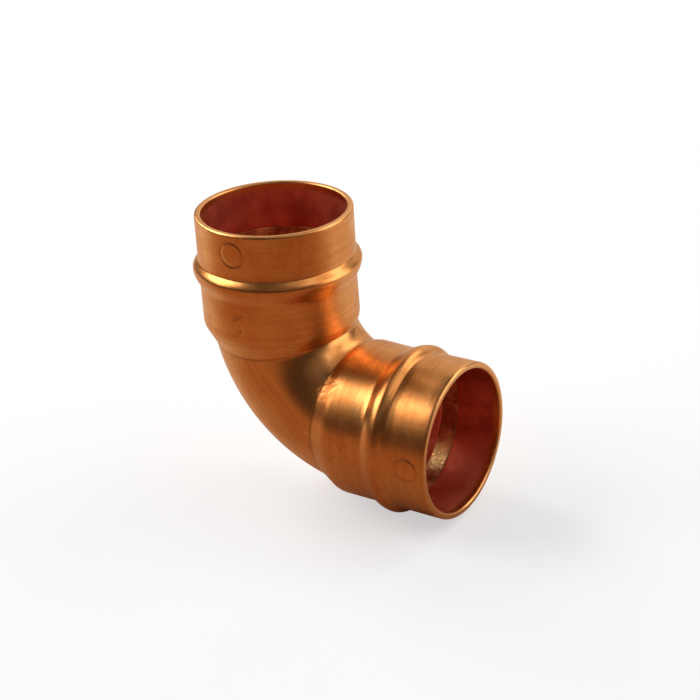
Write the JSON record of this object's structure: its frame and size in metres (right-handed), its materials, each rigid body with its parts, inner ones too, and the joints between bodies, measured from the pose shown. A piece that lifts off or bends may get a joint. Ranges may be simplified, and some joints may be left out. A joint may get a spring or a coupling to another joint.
{
  "type": "pipe elbow",
  "caption": "Right-angle copper elbow: equal beaded sockets that hold split solder rings in grooves behind the beads, short conical shoulders and a tight round bend.",
  "frame": {"origin": "where the centre lines of the two sockets cross", "axes": "+Z along the upright socket and out of its mouth, +X along the side socket and out of its mouth, Y across the elbow, whose middle plane is Y = 0"},
  "size_m": [0.0449, 0.0258, 0.0449],
  "materials": {
    "formed_copper": "satin formed copper, bright at the rims and beads, dark red inside",
    "solder_tin": "dull drawn solder wire"
  },
  "bodies": {
    "root": {"elbow_body": "formed_copper", "upright_solder_ring": "solder_tin", "side_solder_ring": "solder_tin"}
  },
  "joints": []
}
